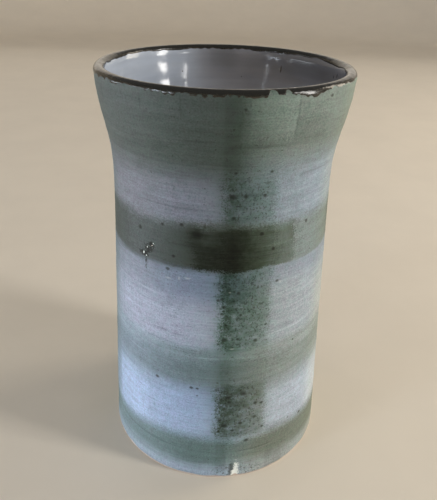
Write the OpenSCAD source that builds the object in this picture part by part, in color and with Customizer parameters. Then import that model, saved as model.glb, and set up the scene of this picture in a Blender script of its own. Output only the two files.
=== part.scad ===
// Thrown stoneware vase: a clay body with a glossy liner glaze, a matt outer glaze,
// a dark glazed lip and brushed oxide decoration.
// Millimetres, +Z up. The origin is the centre of the foot, on the table.
// The front is -Y, and angles round the vase run from the front towards +X.

/* [Overall] */
// Height from the table to the top of the lip
vase_h = 230; // [180:1:280]
// Diameter of the wall where it meets the table
foot_d = 135; // [110:1:170]

/* [Wall curve] */
// How far the wall leans in for each millimetre of height
wall_lean = 0.043; // [0:0.001:0.08]
// How far below the lip the neck starts to open
bend_drop = 41; // [32:1:60]
// Length over which the neck's bend is spread
bend_soft = 14; // [8:1:24]
// How far the neck opens for each millimetre of height
neck_flare = 0.42; // [0.2:0.01:0.5]
// How far below the lip the neck turns upright again
turn_drop = 7.6; // [4:0.2:14]
// Length over which that turn is spread
turn_soft = 18.5; // [8:0.5:24]
// How much of the opening the turn takes back for each millimetre of height
turn_in = 0.6; // [0.3:0.01:0.7]

/* [Clay thickness] */
// Wall at the lip, glaze included
wall_lip = 5.8; // [4:0.1:8]
// Wall at the foot, glaze included
wall_foot = 7.5; // [5:0.1:11]
// Floor of the pot, from the recess below to the glaze inside
floor_t = 6; // [4:0.5:12]
// Radius of the inside corner between floor and wall
corner_r = 14; // [6:1:24]

/* [Turned foot] */
// Width of the ring that the vase stands on
ring_w = 8; // [5:0.5:14]
// Depth of the recess inside that ring
recess_h = 3; // [1:0.5:5]
// How far the recess's wall slopes in towards the top
recess_slope = 2; // [0.5:0.5:4]
// Bevel on the foot's outer edge
foot_bevel = 0.8; // [0.4:0.1:1.2]

/* [Glazes] */
// Thickness of the liner, the matt glaze and the lip's glaze
glaze_t = 0.4; // [0.2:0.05:0.8]
// Bare clay left above the table
bare_h = 1.6; // [1.4:0.1:4]
// Where the dark glaze starts on the outside of the lip, in degrees up from level
rim_start = 30; // [10:1:60]
// Where it ends on the inside of the lip, in degrees from the same start
rim_end = 172; // [130:1:175]

/* [Brushed bands] */
// Thickness of the brushed oxide
brush_t = 0.15; // [0.1:0.05:0.3]
// Lower edge of the shoulder band, below the top of the lip
shoulder_drop = 38; // [30:1:44]
// Height of the middle band
middle_h = 26; // [12:1:30]
// Height of the lower band
lower_h = 23; // [12:1:30]
// Height of the foot band
foot_h = 17; // [8:1:22]
// Pale strip left under the foot band
foot_low = 14; // [6:1:20]
// Share of the pale wall that is left between the shoulder and middle bands
high_gap_share = 0.23; // [0.15:0.01:0.35]
// Share of the pale wall that is left between the lower and foot bands
low_gap_share = 0.33; // [0.15:0.01:0.35]

/* [Brushed stripes] */
// Number of upright stripes
stripe_count = 4; // [2:1:6]
// Width of an upright stripe, round the wall
stripe_w = 33; // [15:1:45]
// Angle of the first stripe's middle, from the front
stripe_at = 13; // [-45:1:45]
// Width of the dark strokes where the stripes cross the middle band
stroke_w = 60; // [46:1:66]
// Strip of the middle band left clear above and below those strokes
stroke_inset = 1.5; // [0.5:0.5:5]

/* [Hidden] */
$fn = 96;

rings = 32;
lip_steps = 6;
corner_steps = 8;
same_z = 0.02;

lip_z = vase_h - wall_lip / 2;
bend_z = vase_h - bend_drop;
turn_z = vase_h - turn_drop;
shoulder_low = vase_h - shoulder_drop;
foot_top = foot_low + foot_h;
pale_h = shoulder_low - middle_h - lower_h - foot_top;
lower_low = foot_top + pale_h * low_gap_share;
middle_low = shoulder_low - pale_h * high_gap_share - middle_h;
floor_z = recess_h + floor_t;
corner_z = floor_z + corner_r;
ring_in = foot_d / 2 - foot_bevel - ring_w;
degrees_per_mm = 360 / (PI * foot_d);

// A line that bends up from level to a slope of one, softly, at zero
function ramp(u, soft) = (u + sqrt(u * u + soft * soft)) / 2;

// The same bend at a height, counted from the table
function bend(z, at, soft) = ramp(z - at, soft) - ramp(-at, soft);

// Outer radius of the matt glaze: a leaning wall, a neck that opens and a lip that turns upright
function curve_r(z) =
    foot_d / 2 - wall_lean * z
    + neck_flare * bend(z, bend_z, bend_soft)
    - turn_in * bend(z, turn_z, turn_soft);

// The wall as rings up to the lip, and the radius anywhere between them
WALL = [for (i = [0 : rings]) [lip_z * i / rings, curve_r(lip_z * i / rings)]];
function wall_r(z) = lookup(z, WALL);
function wall_t(z) = wall_foot + (wall_lip - wall_foot) * z / lip_z;

lip_r = wall_r(lip_z) - wall_lip / 2;
corner_at = wall_r(corner_z) - wall_t(corner_z) - corner_r;

function reverse(list) = [for (i = [len(list) - 1 : -1 : 0]) list[i]];
// Two paths in one, where the second starts at the first one's end
function joined(first, second) = concat(first, [for (i = [1 : len(second) - 1]) second[i]]);
function between(low, high) =
    concat([low], [for (p = WALL) if (p[0] > low + same_z && p[0] < high - same_z) p[0]], [high]);
function arc(r, z, radius, from, to, steps) =
    [for (i = [0 : steps]) let (a = from + (to - from) * i / steps)
        [r + radius * cos(a), z + radius * sin(a)]];

// Paths at a depth below the finished face: up the outside, over the lip and down the inside
function outside(depth, low, high) = [for (z = between(low, high)) [wall_r(z) - depth, z]];
function over_lip(depth, from, to) = arc(lip_r, lip_z, wall_lip / 2 - depth, from, to, lip_steps);
function inner_wall(depth) =
    [for (z = reverse(between(corner_z, lip_z))) [wall_r(z) - wall_t(z) + depth, z]];
function corner(depth) = arc(corner_at, corner_z, corner_r + depth, 0, -90, corner_steps);
function up_to_rim(depth, low) = joined(outside(depth, low, lip_z), over_lip(depth, 0, rim_start));
function liner_path(depth) = joined(
    over_lip(depth, rim_end, 180),
    joined(inner_wall(depth), concat(corner(depth), [[0, floor_z - depth]])));

// A layer of glaze or oxide between two paths, turned round the vase
module layer(face, back) {
    rotate_extrude()
        polygon(concat(face, reverse(back)));
}

// The same over part of a turn, with its middle at an angle from the front
module patch(face, back, middle, width) {
    turn = width * degrees_per_mm;
    rotate([0, 0, middle - 90 - turn / 2])
        rotate_extrude(angle = turn)
            polygon(concat(face, reverse(back)));
}

module clay_body() {
    color("#c3a88f")
        rotate_extrude()
            polygon(concat(
                [[0, recess_h],
                 [ring_in - recess_slope, recess_h],
                 [ring_in, 0],
                 [wall_r(0) - glaze_t - foot_bevel, 0]],
                joined(up_to_rim(glaze_t, foot_bevel),
                       joined(over_lip(glaze_t, rim_start, rim_end), liner_path(glaze_t)))));
}

module liner_glaze() {
    color("#9ea2b4")
        layer(liner_path(0), liner_path(glaze_t));
}

module matt_coat() {
    color("#a3b0c2")
        layer(up_to_rim(0, bare_h), up_to_rim(glaze_t, bare_h));
}

module rim_glaze() {
    color("#2b2620")
        layer(over_lip(0, rim_start, rim_end), over_lip(glaze_t, rim_start, rim_end));
}

module shoulder_band() {
    color("#66756d")
        layer(up_to_rim(-brush_t, shoulder_low), up_to_rim(0, shoulder_low));
}

module band(low, height) {
    color("#6f7d75")
        layer(outside(-brush_t, low, low + height), outside(0, low, low + height));
}

module middle_band() {
    band(middle_low, middle_h);
}

module lower_band() {
    band(lower_low, lower_h);
}

module foot_band() {
    band(foot_low, foot_h);
}

// The stripes show between the bands, which cover them where they cross
module upright_stripes() {
    gaps = [[foot_top, lower_low],
            [lower_low + lower_h, middle_low],
            [middle_low + middle_h, shoulder_low]];
    color("#58685b")
        for (i = [0 : stripe_count - 1], gap = gaps)
            patch(outside(-brush_t, gap[0], gap[1]), outside(0, gap[0], gap[1]),
                  stripe_at + i * 360 / stripe_count, stripe_w);
}

// A second, darker stroke lies on the middle band at each stripe
module overlap_strokes() {
    low = middle_low + stroke_inset;
    high = middle_low + middle_h - stroke_inset;
    color("#35332c")
        for (i = [0 : stripe_count - 1])
            patch(outside(-2 * brush_t, low, high), outside(-brush_t, low, high),
                  stripe_at + i * 360 / stripe_count, stroke_w);
}

clay_body();
liner_glaze();
matt_coat();
rim_glaze();
shoulder_band();
middle_band();
lower_band();
foot_band();
upright_stripes();
overlap_strokes();
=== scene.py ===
import math

import bpy
import numpy as np
from bpy.props import FloatProperty, FloatVectorProperty, IntProperty, PointerProperty
from bpy.types import Operator, Panel, PropertyGroup
from mathutils import Matrix, Vector


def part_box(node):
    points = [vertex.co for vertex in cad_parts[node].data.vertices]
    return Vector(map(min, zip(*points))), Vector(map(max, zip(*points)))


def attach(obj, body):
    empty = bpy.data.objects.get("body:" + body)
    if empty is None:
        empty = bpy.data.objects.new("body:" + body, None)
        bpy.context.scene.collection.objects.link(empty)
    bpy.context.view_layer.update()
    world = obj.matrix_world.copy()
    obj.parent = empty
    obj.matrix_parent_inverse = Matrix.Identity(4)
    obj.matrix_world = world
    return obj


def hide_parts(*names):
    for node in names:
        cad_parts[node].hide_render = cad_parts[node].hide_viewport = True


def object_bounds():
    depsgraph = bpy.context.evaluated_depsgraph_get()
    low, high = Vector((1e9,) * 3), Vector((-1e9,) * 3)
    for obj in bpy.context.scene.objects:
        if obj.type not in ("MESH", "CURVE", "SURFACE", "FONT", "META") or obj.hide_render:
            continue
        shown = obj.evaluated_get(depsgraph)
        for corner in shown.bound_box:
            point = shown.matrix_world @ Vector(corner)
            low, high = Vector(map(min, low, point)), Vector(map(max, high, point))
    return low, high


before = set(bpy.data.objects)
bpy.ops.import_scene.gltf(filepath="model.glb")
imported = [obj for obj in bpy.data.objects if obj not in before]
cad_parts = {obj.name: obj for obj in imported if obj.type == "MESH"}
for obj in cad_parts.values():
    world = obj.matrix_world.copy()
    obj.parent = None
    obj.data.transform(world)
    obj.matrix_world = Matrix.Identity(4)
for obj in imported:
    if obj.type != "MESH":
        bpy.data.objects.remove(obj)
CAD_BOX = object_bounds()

bl_info = {
    "name": "Stoneware vase",
    "version": (1, 0, 0),
    "blender": (4, 5, 0),
    "location": "View3D > Sidebar > Vase",
    "description": "Glazes and brushwork of a thrown stoneware vase, built round its CAD frame",
    "category": "Object",
}

MM = 0.001
FULL_TURN = 2 * math.pi
UV_NAME = "OFBake"

# Angles round the vase are in degrees from the front (-Y) towards +X, heights in mm.

# Radius of the wall in mm, which turns degrees round it into mm: anywhere, at the foot, at the scar
WALL_R, FOOT_R, SCAR_R = 62, 67, 61
# Radius in mm of the rounded corner between the floor inside and the wall
CORNER = 14.0


# ---------------------------------------------------------------- sizes from the CAD frame

def rings_facing(node, side):
    """Height to radius, in mm, of a node's rings on faces that look outward (side 1) or inward (-1)."""
    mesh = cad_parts[node].data
    least_steep = 0.3
    rings = {}
    for face in mesh.polygons:
        out = face.center.xy.normalized().dot(face.normal.xy) * side
        if out < least_steep:
            continue
        for index in face.vertices:
            spot = mesh.vertices[index].co
            rings[round(spot.z / MM, 2)] = spot.xy.length / MM
    heights = np.array(sorted(rings))
    return heights, np.array([rings[h] for h in heights])


def softened(heights, radii, reach):
    """A function of height that follows the rings with their corners smoothed away."""
    step = 0.5
    pad = 4 * reach
    fine = np.arange(heights[0] - pad, heights[-1] + pad, step)
    low_slope = (radii[1] - radii[0]) / (heights[1] - heights[0])
    high_slope = (radii[-1] - radii[-2]) / (heights[-1] - heights[-2])
    known = np.interp(fine, heights, radii)
    known += np.minimum(fine - heights[0], 0) * low_slope
    known += np.maximum(fine - heights[-1], 0) * high_slope
    spread = np.exp(-0.5 * (np.arange(-pad, pad + step, step) / reach) ** 2)
    smooth = np.convolve(known, spread / spread.sum(), mode="same")
    return lambda z: np.interp(z, fine, smooth)


def lip_sizes():
    """Outer and inner radius of the lip, its half width and the height of its middle, in mm."""
    flare = 12
    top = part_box("rim_glaze")[1].z / MM
    outer_z, outer_r = rings_facing("matt_coat", 1)
    inner_r = rings_facing("liner_glaze", -1)[1]
    outer = outer_r[outer_z > top - flare].max()
    inner = inner_r[-1]
    half = (outer - inner) / 2
    return outer, inner, half, top - half


LIP_OUT, LIP_IN, LIP_HALF, LIP_Z = lip_sizes()
LIP_MID = (LIP_OUT + LIP_IN) / 2
# How far up and down, in mm, the corners of the CAD's rings are smoothed
SOFT = 3.0


def wall_outside():
    """Outer radius of the vase at any height under the lip."""
    heights, radii = rings_facing("matt_coat", 1)
    under = heights < LIP_Z + 0.1
    return softened(heights[under], radii[under], SOFT)


def wall_inside():
    """Inner radius of the vase at any height above the inside corner."""
    heights, radii = rings_facing("liner_glaze", -1)
    straight = (heights > inside_floor() + CORNER + 1) & (heights < LIP_Z + 0.1)
    return softened(heights[straight], radii[straight], SOFT)


def inside_floor():
    """Height of the floor inside, in mm."""
    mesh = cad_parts["liner_glaze"].data
    level = [f.center.z for f in mesh.polygons if f.normal.z > 0.95 and f.center.xy.length < 0.045]
    return max(level) / MM


OUTSIDE = wall_outside()
INSIDE = wall_inside()


# ---------------------------------------------------------------- shapes

def rolling(rng, turn, up, most_turns, up_length, count=28):
    """Smooth seeded unevenness that joins up round the pot. Turn is in radians, up in mm."""
    total = 0.0 * turn * up
    for _ in range(count):
        waves = rng.integers(0, most_turns + 1)
        climb = rng.normal(0, 1 / up_length)
        total = total + np.sin(waves * turn + FULL_TURN * climb * up + rng.uniform(0, FULL_TURN))
    return total / math.sqrt(count / 2)


def turns(columns):
    """The turn in radians of each column, from the front, up to half a turn either way."""
    turn = np.arange(columns) / columns * FULL_TURN
    return np.where(turn > math.pi, turn - FULL_TURN, turn)


def apart(a, b):
    """Degrees from b to a, the short way round."""
    return (a - b + 180) % 360 - 180


def round_wall(angle, at, radius):
    """Millimetres from one angle to another, round a wall of that radius in mm."""
    return apart(angle, at) * math.radians(1) * radius


def hump(distance):
    """One at the middle, falling smoothly to nothing at a distance of one."""
    return np.clip(1 - distance ** 2, 0, 1) ** 2


def side_faces(rows, columns, across, closed):
    """Faces between neighbouring rows, with the map corners of each."""
    faces, corners = [], []
    for i in range(rows if closed else rows - 1):
        near, far = i * columns, (i + 1) % rows * columns
        low, high = across[i], across[(i + 1) % len(across)]
        if high < low:
            high = 1.0
        for j in range(columns):
            k = (j + 1) % columns
            faces.append((near + j, near + k, far + k, far + j))
            u, w = j / columns, (j + 1) / columns
            corners += [(u, low), (w, low), (w, high), (u, high)]
    return faces, corners


def end_fan(start, tip, columns, edge, point, flip):
    """Triangles from the row that begins at start to a tip on the axis, with their map corners."""
    faces, corners = [], []
    for j in range(columns):
        k = (j + 1) % columns
        pair = (start + k, start + j) if flip else (start + j, start + k)
        faces.append((*pair, tip))
        u, w = j / columns, (j + 1) / columns
        ends = (w, u) if flip else (u, w)
        corners += [(ends[0], edge), (ends[1], edge), ((u + w) / 2, point)]
    return faces, corners


def turned(name, radii, heights, across, closed):
    """A mesh of rows round the axis. Radii and heights are rows by columns, in mm.
    A closed piece joins its last row to its first. An open one ends in points on the axis."""
    rows, columns = radii.shape
    turn = np.arange(columns) / columns * FULL_TURN
    spots = np.stack([radii * np.sin(turn), -radii * np.cos(turn), heights], -1).reshape(-1, 3) * MM
    spots = list(map(tuple, spots))
    faces, corners = side_faces(rows, columns, across, closed)
    if not closed:
        for row, flip, edge, point in ((0, True, across[0], 0.0), (rows - 1, False, across[-2], 1.0)):
            spots.append((0.0, 0.0, float(heights[row].mean()) * MM))
            more = end_fan(row * columns, len(spots) - 1, columns, edge, point, flip)
            faces += more[0]
            corners += more[1]
    mesh = bpy.data.meshes.new(name)
    mesh.from_pydata(spots, [], faces)
    layer = mesh.uv_layers.new(name=UV_NAME)
    layer.data.foreach_set("uv", np.array(corners, np.float32).ravel())
    mesh.polygons.foreach_set("use_smooth", [True] * len(mesh.polygons))
    mesh.update()
    piece = bpy.data.objects.new(name, mesh)
    bpy.context.scene.collection.objects.link(piece)
    return piece


# How much of the map a closed piece takes up, which leaves its last row of faces the rest
CLOSED_SHARE = 0.999


def spaced(lengths, total=1.0):
    """Running share of the way along, from the length of each step."""
    along = np.concatenate([[0.0], np.cumsum(lengths)])
    return along / along[-1] * total


# The scar on the middle band, as knocks at an angle and a height
SCAR = ((-38.5, 143.5), (-36.5, 146.0), (-34.5, 148.0), (-33.0, 149.5))
# The chip at the foot: its angle, and its top in mm
CHIP_AT, CHIP_TOP = 11.4, 14


def foot_chip(angle, up):
    """One in the middle of the chip at the foot, falling to nothing at its edge. It narrows upwards."""
    narrow = np.clip(1.7 - 0.09 * (up - 2), 0.5, 2)
    sideways = round_wall(angle, CHIP_AT, FOOT_R)
    return hump(sideways / narrow / 1.25) * np.clip((CHIP_TOP - up) / 3, 0, 1)


def wall_dents(turn, up, sizes):
    """How far the wall is knocked in, in mm, by its scar, its foot chip and its pits."""
    pit_count, pit_depth = 70, 0.12
    angle = np.degrees(turn)
    depth = 0.0 * turn * up
    for at, height in SCAR:
        reach = np.hypot(round_wall(angle, at, SCAR_R) / 2.2, (up - height) / 1.8)
        depth = np.maximum(depth, sizes.mm("scar_depth") * hump(reach))
    depth = np.maximum(depth, sizes.mm("chip_depth") * foot_chip(angle, up))
    rng = np.random.default_rng(41)
    for _ in range(pit_count):
        at, height, size = rng.uniform(-180, 180), rng.uniform(8, 222), rng.uniform(0.8, 1.6)
        reach = np.hypot(round_wall(angle, at, WALL_R), up - height) / size
        depth = np.maximum(depth, pit_depth * hump(reach))
    return depth


def wall_waver(turn, up, sizes):
    """Throwing rings and the slight unevenness of a hand-thrown wall, in mm, never above zero."""
    rng = np.random.default_rng(12)
    pitch, tall = sizes.mm("ring_pitch"), sizes.mm("ring_depth")
    spiral = up + turn / FULL_TURN * pitch
    rings = rolling(rng, turn, spiral, 1, pitch, 22)
    fine = rolling(rng, turn, spiral, 2, 2.6, 22)
    swells = rolling(rng, turn, up, 4, 90.0, 16)
    waver = tall * (0.7 * rings + 0.3 * fine) + 0.06 * swells
    return np.minimum(waver, 2.0 * tall) - 2.0 * tall


def make_coat(sizes):
    """The matt glaze: its outside, the lip under the dark glaze, and the thin inner side."""
    wall_rows, lip_rows, back_rows = sizes.rows, 8, 18
    thick, under_glaze, past_the_top = 0.9, 0.22, math.radians(100)
    turn = turns(sizes.columns)
    level = 0 * turn
    rng = np.random.default_rng(5)
    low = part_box("matt_coat")[0].z / MM
    edge = low - 0.95 + 0.2 * rolling(rng, turn, level, 40, 1.0)
    radii, heights = [], []
    for i in range(wall_rows):
        up = edge + (LIP_Z - edge) * i / (wall_rows - 1)
        over = up - edge
        rounding = 0.35 * np.exp(-over / 0.5)
        wave = wall_waver(turn, up, sizes) * np.clip(over / 4, 0.15, 1)
        radii.append(OUTSIDE(up) + wave - wall_dents(turn, up, sizes) - rounding)
        heights.append(up)
    for i in range(1, lip_rows + 1):
        bend = past_the_top * i / lip_rows
        across = LIP_HALF - under_glaze * i / lip_rows
        radii.append(LIP_MID + across * math.cos(bend) + level)
        heights.append(LIP_Z + across * math.sin(bend) + level)
    for i in range(back_rows):
        share = 1 - i / (back_rows - 1)
        up = low + 1.0 + (LIP_Z - low - 1.0) * share + level
        radii.append(OUTSIDE(up) - thick)
        heights.append(up)
    radii[0] = radii[0] - 0.25
    along = spaced([1.0] * wall_rows + [0.6] * lip_rows + [0.05] * back_rows, CLOSED_SHARE)
    return turned("outer_coat", np.array(radii), np.array(heights), along[:-1], True)


# Where the lip's dark glaze runs down outside: angle, half width in degrees, mm ...
LIP_DIPS = ((34, 9, 1.5), (12, 5, 0.8), (-86, 20, 0.8), (128, 9, 1.0),
            (160, 14, 0.6), (-140, 12, 1.0), (-168, 8, 0.8))
# ... and inside
LIP_RUNS = ((148, 2.5, 2.4), (155, 3, 2.0), (162, 4, 0.9), (-178, 5, 0.5), (-150, 6, 0.6),
            (130, 5, 0.5), (100, 6, 0.5), (-96, 6, 0.6), (20, 8, 0.4))
# Where it has broken away: angle, half width in degrees, from and to in mm over the lip
LIP_GAPS = ((18.0, 1.5, -3.0, 3.9), (24.0, 1.0, -3.0, 3.3), (47.5, 2.0, -3.0, 1.6),
            (-33, 0.6, -0.6, 0.8), (58, 3.0, -3.0, 1.0), (112, 1.3, 0.2, 2.6),
            (-116, 0.8, 0.5, 2.4), (71, 2.0, -3.0, 0.9))


def lip_cover(turn, along):
    """How far in mm a point of the lip lies inside the edges of its dark glaze."""
    angle, level = np.degrees(turn), 0 * turn
    rng = np.random.default_rng(33)
    low = 0.3 + 0.2 * rolling(rng, turn, level, 40, 1.0) + 0.28 * rolling(rng, turn, level, 150, 1.0)
    high = 8.5 + 0.35 * rolling(rng, turn, level, 30, 1.0) + 0.15 * rolling(rng, turn, level, 90, 1.0)
    for at, width, drop in LIP_DIPS:
        low = low - drop * hump(apart(angle, at) / width)
    for at, width, drop in LIP_RUNS:
        high = high + drop * hump(apart(angle, at) / width)
    inside = np.minimum(along - low, high - along)
    for at, width, first, last in LIP_GAPS:
        middle, half = (first + last) / 2, (last - first) / 2
        reach = np.hypot(apart(angle, at) / width, (along - middle) / half)
        inside = np.minimum(inside, (reach - 1) * min(width, half))
    return inside


def lip_spot(along, across):
    """Radius and height of a point along mm over the lip, at a distance from its middle line."""
    bend = np.clip(along / LIP_HALF, 0, math.pi)
    past = np.maximum(along - LIP_HALF * math.pi, 0)
    before = np.minimum(along, 0)
    up = LIP_Z + across * np.sin(bend) - past + before
    outer = OUTSIDE(LIP_Z + before) - LIP_OUT + LIP_MID
    inner = INSIDE(LIP_Z - past) - LIP_IN + LIP_MID
    middle = np.where(along > LIP_HALF * math.pi / 2, inner, outer)
    return middle + across * np.cos(bend), up


def make_lip(sizes):
    """The dark glaze over the lip, as a closed shell with ragged edges and bare gaps."""
    rows, back_rows = 44, 8
    first, last = -2.6, LIP_HALF * math.pi + 3.2
    sunk_under, thick_shell, most_thick = 0.16, 0.62, sizes.mm("lip_glaze")
    turn = turns(sizes.lip_columns)
    level = 0 * turn
    rng = np.random.default_rng(8)
    radii, heights, covers = [], [], []
    for i in range(rows):
        along = first + (last - first) * i / (rows - 1) + level
        cover = lip_cover(turn, along)
        thick = most_thick * (1 - np.exp(-np.maximum(cover, 0) / 0.45))
        thick = thick * (1 + 0.18 * rolling(rng, turn, along, 50, 6.0))
        sunk = sunk_under + 0.25 * np.clip(-cover / 0.4, 0, 1) + 0.12 * (i in (0, rows - 1))
        top = np.minimum(LIP_HALF - sunk + thick, LIP_HALF - 0.005)
        radius, up = lip_spot(along, top)
        radii.append(radius)
        heights.append(up)
        covers.append(thick * (cover > 0) / most_thick)
    for i in range(back_rows):
        along = last - 0.3 - (last - first - 0.6) * i / (back_rows - 1) + level
        radius, up = lip_spot(along, LIP_HALF - thick_shell + level)
        radii.append(radius)
        heights.append(up)
        covers.append(level)
    across = spaced([1.0] * rows + [0.1] * back_rows, CLOSED_SHARE)
    piece = turned("lip_glaze", np.array(radii), np.array(heights), across[:-1], True)
    depth = piece.data.attributes.new("glaze_depth", "FLOAT", "POINT")
    depth.data.foreach_set("value", np.array(covers, np.float32).ravel())
    return piece


def under_lip(up):
    """How much the wall swells inward just under the lip, in mm."""
    most, starts, peaks, rise = 0.9, 85, 25, 60
    below = np.clip((up - (LIP_Z - starts)) / rise, 0, 1)
    above = np.clip((up - (LIP_Z - peaks)) / peaks, 0, 1)
    return most * below * below * (3 - 2 * below) * (1 - above * above)


def arc(first, last, count, middle, radius):
    """Points round part of a circle, from just after one angle in degrees to another."""
    bends = np.radians(np.linspace(first, last, count)[1:])
    return [(middle[0] + radius * math.cos(b), middle[1] + radius * math.sin(b)) for b in bends]


def inside_path():
    """Radius and height, in mm, from the middle of the floor inside, up the wall and into the lip."""
    floor = inside_floor()
    wall = INSIDE(floor + CORNER)
    path = [(r, floor) for r in np.linspace(1.5, wall - CORNER, 22)]
    path += arc(-90, 0, 14, (wall - CORNER, floor + CORNER), CORNER)
    for up in np.linspace(floor + CORNER, LIP_Z, 84)[1:]:
        path.append((float(INSIDE(up)) - under_lip(up), up))
    return path + arc(180, 95, 9, (LIP_MID, LIP_Z), LIP_HALF - 0.2)


def make_liner(sizes):
    """The glossy glaze inside: floor, wall and the inner side of the lip."""
    turn = np.arange(sizes.liner_columns) / sizes.liner_columns * FULL_TURN
    level = 0 * turn
    path = inside_path()
    radii = np.array([radius for radius, _ in path])[:, None] + level
    heights = np.array([up for _, up in path])[:, None] + level
    rng = np.random.default_rng(27)
    floor = inside_floor()
    flat = heights < floor + 0.01
    ripple = 0.07 * rolling(rng, turn, heights, 7, 16.0)
    rings = 0.05 * rolling(rng, turn, heights, 1, 6.0)
    near_lip = np.clip((LIP_Z + 1 - heights) / 4, 0, 1)
    floor_rings = 0.12 * np.sin(radii / 3.2 * math.pi) * (radii < 46)
    radii = np.where(flat, radii, radii + (ripple + rings) * near_lip)
    heights = np.where(flat, heights + floor_rings * np.clip(radii / 6, 0, 1), heights)
    # The back of the glaze, buried in the clay: down the wall, then in under the floor
    back = [(radius + 0.9, up - 0.6) for radius, up in path[::-8] if up > floor + CORNER]
    back += [(54.0, floor + 3.2), (44.0, floor - 0.8), (3.0, floor - 0.8)]
    for radius, up in back:
        radii = np.vstack([radii, radius + level])
        heights = np.vstack([heights, up + level])
    across = spaced([1.0] * len(path) + [0.05] * len(back))
    return turned("liner", radii[::-1], heights[::-1], across, False)


def recess_height():
    """Height in mm of the recess's roof under the foot."""
    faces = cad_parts["clay_body"].data.polygons
    return min(f.center.z for f in faces if f.normal.z < -0.95 and f.center.xy.length < 0.05) / MM


def foot_path():
    """Radius and height, in mm, from near the middle of the recess, round the foot ring and just up."""
    heights, radii = rings_facing("clay_body", 1)
    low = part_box("clay_body")[0].z / MM
    ring_out = radii[heights < low + 1.5].max()
    spots = [v.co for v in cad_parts["clay_body"].data.vertices]
    ring_in = min(spot.xy.length for spot in spots if spot.z < 1e-5) / MM
    recess = recess_height()
    roof = ring_in - 2.0
    path = []
    for r in np.linspace(2.0, roof - 1.2, 26):
        path.append((r, recess + 0.10 * math.sin(r / 2.1 * math.pi) * min(1, (roof - r) / 4)))
    path += [(roof - 0.5, recess - 0.1), (roof, recess - 0.5), (ring_in - 0.5, 0.7), (ring_in, 0.25)]
    path += [(ring_in + 0.5, 0.05), (ring_in + 1.2, 0.0), (ring_out - 1.8, 0.0)]
    path += [(ring_out - 0.45, 0.03), (ring_out - 0.18, 0.12), (ring_out - 0.05, 0.35), (ring_out, 0.7)]
    return path


def make_body(sizes):
    """The clay itself: turned foot ring, recess below, and the wall under the glazes."""
    turn = turns(sizes.body_columns)
    path = foot_path()
    foot_rows = len(path)
    foot_out = path[-1][0]
    for up in list(np.arange(1.5, 4.0, 0.5)) + list(np.linspace(5, LIP_Z - 2, 34)):
        path.append((float(OUTSIDE(up)) - 0.5, up))
    path.append((LIP_MID + LIP_HALF - 0.5, LIP_Z))
    path += arc(0, 180, 10, (LIP_MID, LIP_Z), LIP_HALF - 0.5)
    for radius, up in inside_path()[::-3]:
        if up < LIP_Z - 1:
            path.append((radius + 0.5 if up > inside_floor() + 1 else radius, up - 0.5))
    radii = np.array([radius for radius, _ in path])[:, None] + 0 * turn
    heights = np.array([up for _, up in path])[:, None] + 0 * turn
    near = (radii > foot_out - 1.5) & (heights < CHIP_TOP)
    chip = sizes.mm("chip_depth") * 0.6 * foot_chip(np.degrees(turn), heights)
    radii = np.where(near, radii - chip, radii)
    lengths = [1.0] * foot_rows + [0.1] * (len(path) - foot_rows)
    return turned("clay_foot", radii, heights, spaced(lengths), False)


# ---------------------------------------------------------------- wiring materials

class Reading:
    """A number that varies over the surface: one output of a node, with arithmetic."""

    def __init__(self, tree, socket):
        self.tree = tree
        self.socket = socket

    def _math(self, operation, *values):
        node = self.tree.nodes.new("ShaderNodeMath")
        node.operation = operation
        for slot, value in zip(node.inputs, values):
            feed(self.tree, slot, value)
        return Reading(self.tree, node.outputs[0])

    def __add__(self, other):
        return self._math("ADD", self, other)

    def __radd__(self, other):
        return self._math("ADD", other, self)

    def __sub__(self, other):
        return self._math("SUBTRACT", self, other)

    def __rsub__(self, other):
        return self._math("SUBTRACT", other, self)

    def __mul__(self, other):
        return self._math("MULTIPLY", self, other)

    def __rmul__(self, other):
        return self._math("MULTIPLY", other, self)

    def power_of(self, base):
        """The base raised to this reading."""
        return self._math("POWER", base, self)

    def cosine(self):
        return self._math("COSINE", self)

    def angle_from(self, other):
        """The angle in radians whose tangent is this reading over the other."""
        return self._math("ARCTAN2", self, other)

    def wrapped(self, low, high):
        """The reading brought into a range by whole turns of the range."""
        return self._math("WRAP", self, high, low)

    def biggest(self, other):
        return self._math("MAXIMUM", self, other)

    def size(self):
        """The reading without its sign."""
        return self._math("ABSOLUTE", self)

    def between(self, low, high):
        """Low where this is zero and high where it is one."""
        return low + (high - low) * self

    def ramp(self, start, end, low=0.0, high=1.0, smooth=True):
        """Low at start and high at end, level beyond both. Start may be above end."""
        node = self.tree.nodes.new("ShaderNodeMapRange")
        node.interpolation_type = "SMOOTHSTEP" if smooth else "LINEAR"
        if start > end:
            start, end, low, high = end, start, high, low
        for slot, value in zip(node.inputs, (self, start, end, low, high)):
            feed(self.tree, slot, value)
        return Reading(self.tree, node.outputs[0])


def feed(tree, slot, value):
    """Puts a plain value in a socket, or wires a reading to it."""
    if isinstance(value, Reading):
        tree.links.new(value.socket, slot)
    elif isinstance(value, bpy.types.NodeSocket):
        tree.links.new(value, slot)
    else:
        slot.default_value = value


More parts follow.
